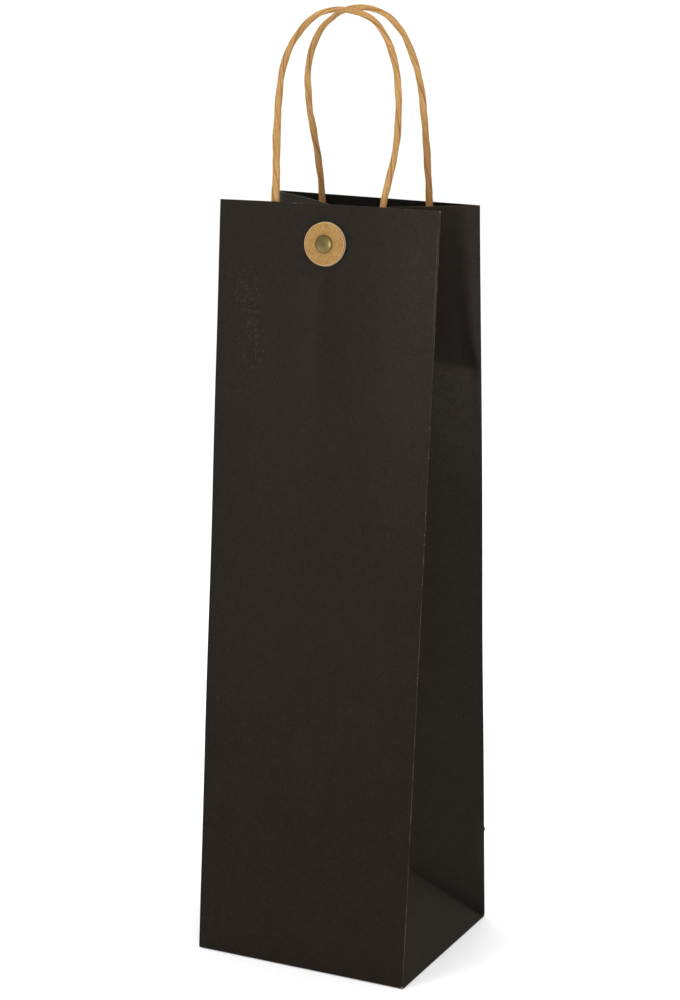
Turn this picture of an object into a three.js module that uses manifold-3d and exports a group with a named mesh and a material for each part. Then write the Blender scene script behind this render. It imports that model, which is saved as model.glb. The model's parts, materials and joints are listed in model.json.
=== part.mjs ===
// A tall paper gift bag for one bottle, standing open: folded paper body with V-folded side gussets,
// a stiff board in the base, two twisted-paper carrying handles glued under paper patches,
// and a riveted card button on the front panel.
// Millimetres, +Z up. The origin is the centre of the underside of the base; the front faces -Y.

import * as THREE from "three";
import { ConvexGeometry } from "three/addons/geometries/ConvexGeometry.js";
import { mergeVertices } from "three/addons/utils/BufferGeometryUtils.js";
import Module from "manifold-3d";

// ---- Driving dimensions ----

const WIDTH = 120; // of the base and of each panel
const DEPTH = 112; // of the base, and the unfolded width of each side gusset
const PAPER_HEIGHT = 400; // paper length of each upright corner crease
const PAPER = 0.6; // sheet thickness, with its lamination
const GAP = 0.35; // between pieces that touch

// The mouth is pinched and a little askew: how far each top corner stands from the middle plane.
const TOP_CORNER_DEPTH = { front: { left: 31, right: 25 }, back: { left: 30, right: 20 } };
const TOP_DRIFT = { front: -1.3, back: 1.3 }; // sideways shift of each panel's top edge
const TOP_BOW = { front: 4, back: 0 }; // how far the middle of each panel's top edge bows inward

const FOLD_INSET = 30; // how far the gusset's lower fold point is pushed in from the side
const APEX_DROP = 2.5; // how much lower the folded gusset ends at the mouth than the corners
const CREASE_SETBACK = 1.3; // half-gussets stop this short of the centre crease

const BOARD_THICKNESS = 1.5;
const BOARD_CLEARANCE = { side: 5.5, face: 2 }; // between the base board and the walls

const CORD_RADIUS = 1.7;
const CORD_SIDES = 10;
const PIVOT_ABOVE_EDGE = 3.3; // the cord bends here when the handle is folded over
const GLUED_END_ABOVE_EDGE = 1; // the glued cord end stops here, under the bend
const GLUED_LENGTH = 28; // cord held under the patch

const PATCH_WIDTH = 96;
const PATCH_HEIGHT = 42;
const PATCH_BELOW_EDGE = 6;
const PATCH_PAPER = 0.4;
const HUMP_HALF_WIDTH = 7; // of the cover where it passes over a cord

const DISC_RADIUS = 11.2;
const DISC_THICKNESS = 0.75;
const RIVET_HEAD_RADIUS = 4.6;
const RIVET_HEAD_HEIGHT = 1.7;
const RIVET_SHANK_RADIUS = 1.5;
const RIVET_TAIL_RADIUS = 2.4;
const RIVET_HOLE_RADIUS = RIVET_SHANK_RADIUS + GAP;
const WASHER_RADIUS = 4.5;
const WASHER_THICKNESS = 0.6;
const BUTTON_ACROSS = -2.5; // from the panel's middle line
const BUTTON_BELOW_EDGE = 20;

// ---- Handles: where the legs leave the panel (from its middle line) and the route of each loop ----

const HANDLES = {
  front: {
    legs: [-32, 26.5],
    loop: [
      [-34, -22, 413.5], [-34.5, -21, 426.5], [-34.5, -20, 441], [-34, -19, 454.5],
      [-32.5, -18, 466.5], [-29, -17.5, 476], [-25, -17, 482.5], [-19.5, -17, 488.5], [-13, -17, 493],
      [-5.5, -17, 495], [2.5, -17, 495], [10, -17, 493.5], [16, -17, 491], [20.5, -17, 487],
      [24.5, -17, 481], [27.5, -17.5, 475], [30, -17.5, 466], [31.5, -18, 455], [32, -18.5, 444],
      [31, -19, 427.5], [28, -19.5, 413],
    ],
  },
  back: {
    legs: [-31.5, 32.5],
    loop: [
      [-30, 20, 413], [-30.5, 15.5, 428], [-32, 12, 443], [-32, 10, 452], [-32, 9, 460], [-31, 8, 467],
      [-28, 7.5, 477], [-23.5, 7, 485], [-18, 7, 490], [-13, 7, 493.5], [-6, 7, 495.5], [1.5, 7, 496],
      [8.5, 7, 494.5], [14.5, 7, 491.5], [19, 7, 487.5], [22.5, 7.5, 483], [27.5, 8, 472.5],
      [31.5, 8.5, 459.5], [33.5, 11, 438.5], [33.5, 15.5, 418],
    ],
  },
};

// ---- Layers of the sandwich, measured inward from a panel's outer face ----

const BACKING_AT = PAPER + GAP;
const CORD_AT = BACKING_AT + PATCH_PAPER + GAP + CORD_RADIUS;
const COVER_AT = BACKING_AT + PATCH_PAPER + GAP;
const COVER_OVER_CORD_AT = CORD_AT + CORD_RADIUS + GAP;
const WASHER_AT = COVER_AT + PATCH_PAPER + GAP;
const RIVET_TAIL_AT = WASHER_AT + WASHER_THICKNESS + GAP;
const REAR_DISC_AT = -(GAP + DISC_THICKNESS);
const FRONT_DISC_AT = REAR_DISC_AT - GAP - DISC_THICKNESS;
const RIVET_HEAD_AT = FRONT_DISC_AT - GAP;

const PAPER_BLACK = { color: 0x2d2a27, roughness: 0.85, metalness: 0 };
const KRAFT_CORD = { color: 0xc4935a, roughness: 0.8, metalness: 0 };
const KRAFT_SHEET = { color: 0xb08a5c, roughness: 0.85, metalness: 0 };
const KRAFT_CARD = { color: 0xb98f5c, roughness: 0.8, metalness: 0 };
const GREY_BOARD = { color: 0x8c867c, roughness: 0.9, metalness: 0 };
const AGED_BRASS = { color: 0x8f8050, roughness: 0.38, metalness: 0.9 };

const group = new THREE.Group();

function addMesh(name, geometry, look, parent = group) {
  const mesh = new THREE.Mesh(geometry, new THREE.MeshStandardMaterial(look));
  mesh.name = name;
  parent.add(mesh);
}

// ---- Closed solids ----

// Six times the enclosed volume, negative when the faces point in.
function signedVolume(geometry) {
  const position = geometry.attributes.position;
  const index = geometry.index.array;
  const [a, b, c] = [new THREE.Vector3(), new THREE.Vector3(), new THREE.Vector3()];
  let total = 0;
  for (let i = 0; i < index.length; i += 3) {
    a.fromBufferAttribute(position, index[i]);
    b.fromBufferAttribute(position, index[i + 1]);
    c.fromBufferAttribute(position, index[i + 2]);
    total += a.dot(b.cross(c));
  }
  return total;
}

// Keeps only positions, joins equal vertices and turns the faces outward.
function closed(geometry) {
  geometry.deleteAttribute("normal");
  geometry.deleteAttribute("uv");
  const joined = mergeVertices(geometry);
  if (signedVolume(joined) < 0) {
    joined.index.array.reverse();
  }
  joined.computeVertexNormals();
  return joined;
}

// A thin solid between two grids of points. under and over take (across, up), both from 0 to 1.
function sheet(columns, rows, under, over) {
  const points = [];
  const faces = [];
  for (const side of [under, over]) {
    for (let j = 0; j <= rows; j++) {
      for (let i = 0; i <= columns; i++) {
        points.push(...side(i / columns, j / rows).toArray());
      }
    }
  }
  const layer = (columns + 1) * (rows + 1);
  const at = (i, j, level) => level * layer + j * (columns + 1) + i;
  const quad = (a, b, c, d) => faces.push(a, b, c, a, c, d);
  for (let j = 0; j < rows; j++) {
    for (let i = 0; i < columns; i++) {
      quad(at(i, j, 0), at(i + 1, j, 0), at(i + 1, j + 1, 0), at(i, j + 1, 0));
      quad(at(i, j, 1), at(i, j + 1, 1), at(i + 1, j + 1, 1), at(i + 1, j, 1));
    }
    quad(at(0, j, 0), at(0, j + 1, 0), at(0, j + 1, 1), at(0, j, 1));
    quad(at(columns, j, 0), at(columns, j, 1), at(columns, j + 1, 1), at(columns, j + 1, 0));
  }
  for (let i = 0; i < columns; i++) {
    quad(at(i, 0, 0), at(i, 0, 1), at(i + 1, 0, 1), at(i + 1, 0, 0));
    quad(at(i, rows, 0), at(i + 1, rows, 0), at(i + 1, rows, 1), at(i, rows, 1));
  }
  const geometry = new THREE.BufferGeometry();
  geometry.setAttribute("position", new THREE.Float32BufferAttribute(points, 3));
  geometry.setIndex(faces);
  return closed(geometry);
}

// A round cord along a smooth curve through the points.
function cord(points, steps) {
  const section = new THREE.Shape();
  for (let i = 0; i < CORD_SIDES; i++) {
    const angle = (2 * Math.PI * i) / CORD_SIDES;
    const [x, y] = [CORD_RADIUS * Math.cos(angle), CORD_RADIUS * Math.sin(angle)];
    if (i === 0) {
      section.moveTo(x, y);
    } else {
      section.lineTo(x, y);
    }
  }
  const extrudePath = new THREE.CatmullRomCurve3(points, false, "centripetal");
  return closed(new THREE.ExtrudeGeometry(section, { steps, bevelEnabled: false, extrudePath }));
}

// A turned piece: its profile is a list of [radius, distance inward from the panel's outer face].
function turned(profile) {
  const points = profile.map(([radius, inward]) => new THREE.Vector2(radius, -inward));
  return closed(new THREE.LatheGeometry(points, 48));
}

function ring(inner, outer, inwardFrom, thickness) {
  return turned([
    [inner, inwardFrom], [outer, inwardFrom],
    [outer, inwardFrom + thickness], [inner, inwardFrom + thickness],
    [inner, inwardFrom],
  ]);
}

// ---- Panels: each is hinged on its base edge, twisted a little by the askew mouth and bowed at the top ----

const sideOf = { front: -1, back: 1 };

function topCorner(face, hand) {
  const depth = TOP_CORNER_DEPTH[face][hand];
  const lean = DEPTH / 2 - depth;
  const drift = TOP_DRIFT[face];
  const height = Math.sqrt(PAPER_HEIGHT ** 2 - lean ** 2 - drift ** 2);
  const x = (hand === "left" ? -WIDTH / 2 : WIDTH / 2) + drift;
  return new THREE.Vector3(x, sideOf[face] * depth, height);
}

// A point of a panel's outer face: mm across from its middle line and mm up the paper from the base edge.
function outerFacePoint(face, across, up) {
  const rise = up / PAPER_HEIGHT;
  const share = across / WIDTH + 0.5;
  const bottom = new THREE.Vector3(across, (sideOf[face] * DEPTH) / 2, 0);
  const top = topCorner(face, "left").lerp(topCorner(face, "right"), share);
  const bow = TOP_BOW[face] * rise ** 2 * (1 - ((2 * across) / WIDTH) ** 2);
  const point = bottom.lerp(top, rise);
  point.y -= sideOf[face] * bow;
  return point;
}

// The same, moved inward from the outer face by some mm.
function panelPoint(face, across, up, inward) {
  const here = outerFacePoint(face, across, up);
  const alongWidth = outerFacePoint(face, across + 1, up).sub(here);
  const alongUp = outerFacePoint(face, across, up + 1).sub(here);
  const inwardNormal = alongWidth.cross(alongUp).multiplyScalar(sideOf[face]).normalize();
  return here.addScaledVector(inwardNormal, inward);
}

// A sheet lying along a panel, between two inward distances, which may change across the width.
function panelSheet(face, acrossRange, upRange, from, to, columns, rows) {
  const place = (inward) => (s, t) => {
    const across = THREE.MathUtils.lerp(...acrossRange, s);
    const up = THREE.MathUtils.lerp(...upRange, t);
    const point = panelPoint(face, across, up, inward(across));
    point.z = Math.max(point.z, 0); // the foot of a panel is flat on the ground
    return point;
  };
  return sheet(columns, rows, place(from), place(to));
}

// ---- The button's own frame: +Y points out of the front panel at the rivet ----

const buttonFrame = new THREE.Group();
const buttonUp = PAPER_HEIGHT - BUTTON_BELOW_EDGE;
const buttonCentre = panelPoint("front", BUTTON_ACROSS, buttonUp, 0);
const buttonOutward = panelPoint("front", BUTTON_ACROSS, buttonUp, -1).sub(buttonCentre);
buttonFrame.position.copy(buttonCentre);
buttonFrame.quaternion.setFromUnitVectors(new THREE.Vector3(0, 1, 0), buttonOutward);
group.add(buttonFrame);

// ---- Boolean cut for the rivet's hole ----

const wasm = await Module();
wasm.setup();

function toSolid(geometry) {
  const vertProperties = new Float32Array(geometry.attributes.position.array);
  const triVerts = new Uint32Array(geometry.index.array);
  return new wasm.Manifold(new wasm.Mesh({ numProp: 3, vertProperties, triVerts }));
}

function cutRivetHole(geometry) {
  const drill = new THREE.CylinderGeometry(RIVET_HOLE_RADIUS, RIVET_HOLE_RADIUS, 20, 32);
  drill.applyQuaternion(buttonFrame.quaternion);
  drill.translate(...buttonCentre.toArray());
  const mesh = toSolid(geometry).subtract(toSolid(closed(drill))).getMesh();
  const pierced = new THREE.BufferGeometry();
  pierced.setAttribute("position", new THREE.BufferAttribute(mesh.vertProperties, 3));
  pierced.setIndex(new THREE.BufferAttribute(mesh.triVerts, 1));
  return closed(pierced);
}

// ---- Front and back panels ----

function addPanel(face) {
  const upRange = [0, PAPER_HEIGHT];
  const acrossRange = [-WIDTH / 2, WIDTH / 2];
  const panel = panelSheet(face, acrossRange, upRange, () => 0, () => PAPER, 8, 10);
  addMesh(`${face}_panel`, face === "front" ? cutRivetHole(panel) : panel, PAPER_BLACK);
}

// ---- Side gussets: a lower triangle and two half-gussets that meet in the V's centre crease ----

const signOf = { left: -1, right: 1 };
const foldHeight = Math.sqrt((DEPTH / 2) ** 2 - FOLD_INSET ** 2);

// The gusset paper starts just inside the panels.
function cornerCrease(face, hand, rise) {
  const across = signOf[hand] * (WIDTH / 2 - PAPER);
  return panelPoint(face, across, rise * PAPER_HEIGHT, PAPER + 2 * GAP);
}

function foldPoint(hand) {
  return new THREE.Vector3(signOf[hand] * (WIDTH / 2 - FOLD_INSET), 0, foldHeight);
}

// Where the centre crease ends at the mouth: each half-gusset keeps its paper width.
function mouthApex(hand) {
  const [front, back] = [topCorner("front", hand), topCorner("back", hand)];
  const middle = front.clone().lerp(back, 0.5);
  const chord = back.clone().sub(front);
  const inset = Math.sqrt((DEPTH / 2) ** 2 - (chord.length() / 2) ** 2);
  const inward = new THREE.Vector3(-chord.y, chord.x, 0).normalize();
  if (hand === "left") {
    inward.negate();
  }
  middle.addScaledVector(inward, inset);
  middle.z -= APEX_DROP;
  return middle;
}

function halfGussetPoint(face, hand, inward, rise) {
  const crease = foldPoint(hand).lerp(mouthApex(hand), rise);
  return cornerCrease(face, hand, rise).lerp(crease, inward);
}

function addHalfGusset(face, hand) {
  const lowest = (CREASE_SETBACK + GAP) / PAPER_HEIGHT;
  const innermost = 1 - CREASE_SETBACK / (DEPTH / 2);
  const offset = (distance) => (s, t) => {
    const [inward, rise] = [s * innermost, lowest + t * (1 - lowest)];
    const here = halfGussetPoint(face, hand, inward, rise);
    const alongIn = halfGussetPoint(face, hand, inward + 0.01, rise).sub(here);
    const alongUp = halfGussetPoint(face, hand, inward, rise + 0.01).sub(here);
    return here.addScaledVector(alongIn.cross(alongUp).normalize(), distance);
  };
  const solid = sheet(3, 10, offset(-PAPER / 2), offset(PAPER / 2));
  addMesh(`gusset_${hand}_${face}_half`, solid, PAPER_BLACK);
}

// The triangle that the base pushes in: from the base edge to the fold point.
function addLowerTriangle(hand) {
  const tilt = Math.asin(FOLD_INSET / (DEPTH / 2));
  const normal = new THREE.Vector3(signOf[hand] * Math.cos(tilt), 0, Math.sin(tilt));
  const halfEdge = DEPTH / 2 - PAPER - 2 * GAP - PAPER;
  const lift = (PAPER / 2) * Math.sin(tilt);
  const corners = [
    new THREE.Vector3(signOf[hand] * (WIDTH / 2 - PAPER), -halfEdge, lift),
    new THREE.Vector3(signOf[hand] * (WIDTH / 2 - PAPER), halfEdge, lift),
    foldPoint(hand).lerp(new THREE.Vector3(signOf[hand] * (WIDTH / 2), 0, 0), 0.03),
  ];
  const points = corners.flatMap((corner) => [
    corner.clone().addScaledVector(normal, PAPER / 2),
    corner.clone().addScaledVector(normal, -PAPER / 2),
  ]);
  addMesh(`gusset_${hand}_lower_triangle`, closed(new ConvexGeometry(points)), PAPER_BLACK);
}

// ---- Base ----

function addPlate(name, width, depth, bottom, thickness, look) {
  const plate = new THREE.BoxGeometry(width, depth, thickness);
  plate.translate(0, 0, bottom + thickness / 2);
  addMesh(name, closed(plate), look);
}

function addBase() {
  const panelWidth = WIDTH - 2 * (3 * PAPER);
  const panelDepth = DEPTH - 2 * (PAPER + 2 * GAP);
  addPlate("bottom_panel", panelWidth, panelDepth, 0, PAPER, PAPER_BLACK);
  const boardWidth = WIDTH - 2 * BOARD_CLEARANCE.side;
  const boardDepth = DEPTH - 2 * BOARD_CLEARANCE.face;
  addPlate("base_board", boardWidth, boardDepth, PAPER + GAP, BOARD_THICKNESS, GREY_BOARD);
}

// ---- Handle patches and glued cord ends ----

function coverAt(face) {
  return (across) => {
    const humps = HANDLES[face].legs.map((leg) => {
      const near = Math.min(Math.abs(across - leg) / HUMP_HALF_WIDTH, 1);
      return Math.cos((near * Math.PI) / 2) ** 2;
    });
    return COVER_AT + (COVER_OVER_CORD_AT - COVER_AT) * Math.max(...humps);
  };
}

function addPatch(face) {
  const acrossRange = [-PATCH_WIDTH / 2, PATCH_WIDTH / 2];
  const top = PAPER_HEIGHT - PATCH_BELOW_EDGE;
  const upRange = [top - PATCH_HEIGHT, top];
  const pierce = face === "front" ? cutRivetHole : (geometry) => geometry;
  const backingEnd = BACKING_AT + PATCH_PAPER;
  const backing = panelSheet(face, acrossRange, upRange, () => BACKING_AT, () => backingEnd, 8, 2);
  addMesh(`${face}_patch_backing`, pierce(backing), KRAFT_SHEET);
  const inner = coverAt(face);
  const outer = (across) => inner(across) + PATCH_PAPER;
  const cover = panelSheet(face, acrossRange, upRange, inner, outer, 48, 2);
  addMesh(`${face}_patch_cover`, pierce(cover), KRAFT_SHEET);
}

function addGluedEnds(face) {
  HANDLES[face].legs.forEach((leg, i) => {
    const top = PAPER_HEIGHT + GLUED_END_ABOVE_EDGE;
    const bottom = PAPER_HEIGHT - PATCH_BELOW_EDGE - GLUED_LENGTH;
    const ends = [bottom, top].map((up) => panelPoint(face, leg, up, CORD_AT));
    addMesh(`${face}_cord_end_${["left", "right"][i]}`, cord(ends, 1), KRAFT_CORD);
  });
}

// ---- Handle loops ----

function addHandle(face) {
  const { legs, loop } = HANDLES[face];
  const up = PAPER_HEIGHT + PIVOT_ABOVE_EDGE;
  const [start, end] = legs.map((leg) => panelPoint(face, leg, up, CORD_AT));
  const route = [start, ...loop.map((point) => new THREE.Vector3(...point)), end];
  addMesh(`${face}_handle`, cord(route, 44), KRAFT_CORD);
}

// ---- Button: two card discs held by one rivet and a washer behind the patch ----

function addButton() {
  const disc = (at) => ring(RIVET_HOLE_RADIUS, DISC_RADIUS, at, DISC_THICKNESS);
  addMesh("button_disc_front", disc(FRONT_DISC_AT), KRAFT_CARD, buttonFrame);
  addMesh("button_disc_rear", disc(REAR_DISC_AT), KRAFT_CARD, buttonFrame);
  const domeSteps = 8;
  const dome = [];
  for (let i = 0; i <= domeSteps; i++) {
    const angle = (Math.PI / 2) * (i / domeSteps);
    const height = RIVET_HEAD_HEIGHT * Math.cos(angle);
    dome.push([RIVET_HEAD_RADIUS * Math.sin(angle), RIVET_HEAD_AT - height]);
  }
  const rivet = turned([
    ...dome,
    [RIVET_SHANK_RADIUS, RIVET_HEAD_AT],
    [RIVET_SHANK_RADIUS, RIVET_TAIL_AT],
    [RIVET_TAIL_RADIUS, RIVET_TAIL_AT],
    [RIVET_TAIL_RADIUS, RIVET_TAIL_AT + WASHER_THICKNESS],
    [0, RIVET_TAIL_AT + WASHER_THICKNESS],
  ]);
  addMesh("rivet", rivet, AGED_BRASS, buttonFrame);
  const washer = ring(RIVET_HOLE_RADIUS, WASHER_RADIUS, WASHER_AT, WASHER_THICKNESS);
  addMesh("rivet_washer", washer, AGED_BRASS, buttonFrame);
}

addBase();
for (const face of ["front", "back"]) {
  addPanel(face);
  addPatch(face);
  addGluedEnds(face);
  addHandle(face);
}
for (const hand of ["left", "right"]) {
  addLowerTriangle(hand);
  addHalfGusset("front", hand);
  addHalfGusset("back", hand);
}
addButton();

export default group;
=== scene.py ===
import json
import math

import bpy
import numpy as np
from mathutils import Matrix, Vector, noise


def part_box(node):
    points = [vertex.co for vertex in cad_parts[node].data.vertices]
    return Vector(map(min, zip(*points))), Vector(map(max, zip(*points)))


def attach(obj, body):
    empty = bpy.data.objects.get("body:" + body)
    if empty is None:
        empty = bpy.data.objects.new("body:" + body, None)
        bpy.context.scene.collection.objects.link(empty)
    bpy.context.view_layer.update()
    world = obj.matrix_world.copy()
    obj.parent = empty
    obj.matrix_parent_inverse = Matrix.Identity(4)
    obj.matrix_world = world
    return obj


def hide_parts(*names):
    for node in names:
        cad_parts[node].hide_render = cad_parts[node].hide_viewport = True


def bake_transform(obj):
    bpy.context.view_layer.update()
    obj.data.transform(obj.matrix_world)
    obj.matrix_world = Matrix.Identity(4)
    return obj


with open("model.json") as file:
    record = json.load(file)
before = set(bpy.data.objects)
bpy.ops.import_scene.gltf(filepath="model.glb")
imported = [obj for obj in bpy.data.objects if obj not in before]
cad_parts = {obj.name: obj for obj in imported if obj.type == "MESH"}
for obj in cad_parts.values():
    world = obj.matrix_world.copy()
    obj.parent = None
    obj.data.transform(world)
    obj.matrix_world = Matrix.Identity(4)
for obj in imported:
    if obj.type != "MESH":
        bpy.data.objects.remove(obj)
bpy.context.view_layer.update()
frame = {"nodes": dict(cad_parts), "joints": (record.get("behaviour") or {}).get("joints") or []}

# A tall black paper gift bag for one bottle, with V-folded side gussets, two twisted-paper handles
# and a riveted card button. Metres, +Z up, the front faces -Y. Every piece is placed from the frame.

MM = 0.001

FACES = ("front", "back")
HANDS = ("left", "right")
OUT = {"front": -1, "back": 1}  # the way that each panel faces along Y
SIDE = {"left": -1, "right": 1}  # the side of each gusset along X


# ---- Reading the frame ----

def farthest(node, x, y, z):
    """The vertex of a CAD node that lies farthest in a direction."""
    direction = Vector((x, y, z))
    return max((v.co.copy() for v in frame["nodes"][node].data.vertices), key=direction.dot)


def joint(name):
    return next(j for j in frame["joints"] if j["name"] == name)


FOOT = {(f, h): farthest(f"{f}_panel", SIDE[h], OUT[f], -5) for f in FACES for h in HANDS}
TOP = {(f, h): farthest(f"{f}_panel", SIDE[h], OUT[f], 5) for f in FACES for h in HANDS}
WIDTH = FOOT["front", "right"].x - FOOT["front", "left"].x
DEPTH = FOOT["back", "left"].y - FOOT["front", "left"].y
HEIGHT = (TOP["front", "left"] - FOOT["front", "left"]).length

# The same as in the CAD: the bow of each panel's top edge, how far in the lower triangle's tip lies,
# and how far the gusset's centre crease ends below the mouth's corners.
TOP_BOW = {"front": 4 * MM, "back": 0}
FOLD_INSET = 30 * MM
APEX_DROP = 2.5 * MM


# ---- Camera ----

CAMERA_POSITION = (0.5270, -1.1223, 0.5163)
CAMERA_YAW, CAMERA_PITCH, CAMERA_ROLL = (math.radians(a) for a in (25.41, 12.48, 0.75))
CAMERA_LENS = 86.83


def add_camera():
    data = bpy.data.cameras.new("camera")
    data.lens = CAMERA_LENS
    data.sensor_width = 36
    data.clip_start, data.clip_end = 0.05, 50
    camera = bpy.data.objects.new("camera", data)
    bpy.context.scene.collection.objects.link(camera)
    forward = Vector((
        -math.sin(CAMERA_YAW) * math.cos(CAMERA_PITCH),
        math.cos(CAMERA_YAW) * math.cos(CAMERA_PITCH),
        -math.sin(CAMERA_PITCH),
    ))
    level = Vector((math.cos(CAMERA_YAW), math.sin(CAMERA_YAW), 0))
    upward = level.cross(forward)
    across = math.cos(CAMERA_ROLL) * level + math.sin(CAMERA_ROLL) * upward
    upward = math.cos(CAMERA_ROLL) * upward - math.sin(CAMERA_ROLL) * level
    turn = Matrix((across, upward, -forward)).transposed()
    camera.matrix_world = Matrix.Translation(CAMERA_POSITION) @ turn.to_4x4()
    bpy.context.scene.camera = camera


add_camera()


# ---- Mesh and material helpers ----

def new_object(name, points, faces, materials, face_material=None):
    mesh = bpy.data.meshes.new(name)
    mesh.from_pydata([tuple(p) for p in points], [], faces)
    for material in materials:
        mesh.materials.append(material)
    if face_material is not None:
        mesh.polygons.foreach_set("material_index", face_material)
    mesh.polygons.foreach_set("use_smooth", [True] * len(mesh.polygons))
    mesh.update()
    made = bpy.data.objects.new(name, mesh)
    bpy.context.scene.collection.objects.link(made)
    return made


def smooth_step(value, low, high):
    t = min(max((value - low) / (high - low), 0.0), 1.0)
    return t * t * (3 - 2 * t)


def add_attribute(made, name, values):
    attribute = made.data.attributes.new(name, "FLOAT", "POINT")
    attribute.data.foreach_set("value", np.asarray(values, np.float32))


class Nodes:
    """Builds a node material in few words."""

    def __init__(self, name):
        self.material = bpy.data.materials.new(name)
        self.material.use_nodes = True
        self.tree = self.material.node_tree
        self.shader = self.tree.nodes["Principled BSDF"]
        self.place = self.add("ShaderNodeTexCoord").outputs["Object"]

    def add(self, kind, inputs=None, **settings):
        node = self.tree.nodes.new(kind)
        for key, value in settings.items():
            setattr(node, key, value)
        for key, value in (inputs or {}).items():
            self.set(node.inputs[key], value)
        return node

    def set(self, socket, value):
        if isinstance(value, bpy.types.NodeSocket):
            self.tree.links.new(value, socket)
        elif isinstance(value, (tuple, list)) and len(value) == 3 and socket.type == "RGBA":
            socket.default_value = (*value, 1)
        else:
            socket.default_value = value

    def look(self, **values):
        for key, value in values.items():
            self.set(self.shader.inputs[key.replace("_", " ")], value)

    def math(self, operation, a, b=0.0, clamp=False):
        return self.add("ShaderNodeMath", {0: a, 1: b}, operation=operation, use_clamp=clamp).outputs[0]

    def mix(self, share, a, b):
        node = self.add("ShaderNodeMix", data_type="RGBA", clamp_factor=True)
        for socket, value in ((node.inputs[0], share), (node.inputs[6], a), (node.inputs[7], b)):
            self.set(socket, value)
        return node.outputs[2]

    def tint(self, base, mask, share, colour):
        """Lays a colour over the base where the mask is high, up to a share."""
        return self.mix(self.math("MULTIPLY", mask, share), base, colour)

    def fade(self, value, low, high, to_low=0.0, to_high=1.0):
        inputs = {0: value, 1: low, 2: high, 3: to_low, 4: to_high}
        return self.add("ShaderNodeMapRange", inputs, interpolation_type="SMOOTHSTEP").outputs[0]

    def stretched(self, x, y, z):
        return self.add("ShaderNodeMapping", {"Vector": self.place, "Scale": (x, y, z)}).outputs[0]

    def noise(self, scale, detail=3.0, roughness=0.55, vector=None):
        place = vector or self.place
        inputs = {"Vector": place, "Scale": scale, "Detail": detail, "Roughness": roughness}
        return self.add("ShaderNodeTexNoise", inputs).outputs["Fac"]

    def specks(self, scale, size, share):
        """Round specks on a share of the cells, 1 in their middle."""
        cells = self.add("ShaderNodeTexVoronoi", {"Vector": self.place, "Scale": scale})
        chance = self.add("ShaderNodeSeparateColor", {0: cells.outputs["Color"]}).outputs[0]
        chosen = self.math("LESS_THAN", chance, share)
        return self.math("MULTIPLY", chosen, self.fade(cells.outputs["Distance"], size, size * 0.5))

    def attribute(self, name):
        return self.add("ShaderNodeAttribute", attribute_name=name).outputs["Fac"]

    def axis(self, index):
        return self.add("ShaderNodeSeparateXYZ", {0: self.place}).outputs[index]

    def bump(self, height, strength, distance):
        inputs = {"Height": height, "Strength": strength, "Distance": distance}
        self.look(Normal=self.add("ShaderNodeBump", inputs).outputs[0])


# ---- Materials ----

CHARCOAL = (0.0105, 0.0079, 0.0055)
CHARCOAL_LOW = (0.0060, 0.0038, 0.0013)
DUST_AND_PAINTED_LIGHT = (0.058, 0.049, 0.040)
WORN_PAPER = (0.19, 0.158, 0.122)


def black_paper(name, depth=1.0, worn=True):
    """Black-printed kraft paper: mottled ink, fibres, dust, a few bare kraft specks, worn folds, a rubbed
    tone with painted light and painted shade, darker towards the bottom; inside, mixed towards near-black
    as painted shade.
    """
    n = Nodes(name)
    base = n.mix(n.fade(n.axis(2), 0.05, 0.40), CHARCOAL_LOW, CHARCOAL)
    base = n.tint(base, n.fade(n.noise(38, 4), 0.42, 0.72), 0.08, (0.0155, 0.0118, 0.0083))
    fibre = n.noise(1.0, 5, 0.7, n.stretched(1900, 1900, 620))
    base = n.tint(base, n.fade(fibre, 0.48, 0.74), 0.62, (0.023, 0.0185, 0.014))
    base = n.tint(base, n.fade(n.noise(700, 3, 0.6), 0.5, 0.3), 0.4, (0.0035, 0.0025, 0.0017))
    dust = n.specks(620, 0.17, 0.05)
    base = n.mix(n.math("MULTIPLY", dust, n.fade(n.noise(55, 2), 0.5, 0.66, 0.0, 0.6)), base, DUST_AND_PAINTED_LIGHT)
    base = n.tint(base, n.specks(150, 0.035, 0.6), 0.6, (0.075, 0.045, 0.024))
    # Also lays on the rubbed tone with its painted light and painted shade.
    if worn:
        base = scuffs_and_painted_light(n, base)
    # A depth below 1 mixes the paper towards near-black: painted shade for the bag's dim inside.
    if depth < 1:
        base = n.mix(depth, (0.002, 0.0017, 0.0013), base)
    rough = n.fade(n.noise(120, 4), 0.3, 0.7, 0.71, 0.75)
    n.look(Base_Color=base, Roughness=rough, Specular_IOR_Level=0.115)
    grain = n.math("ADD", fibre, n.math("MULTIPLY", n.noise(420, 4, 0.6), 0.8))
    n.bump(grain, 0.22, 0.00025)
    return n.material


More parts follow.
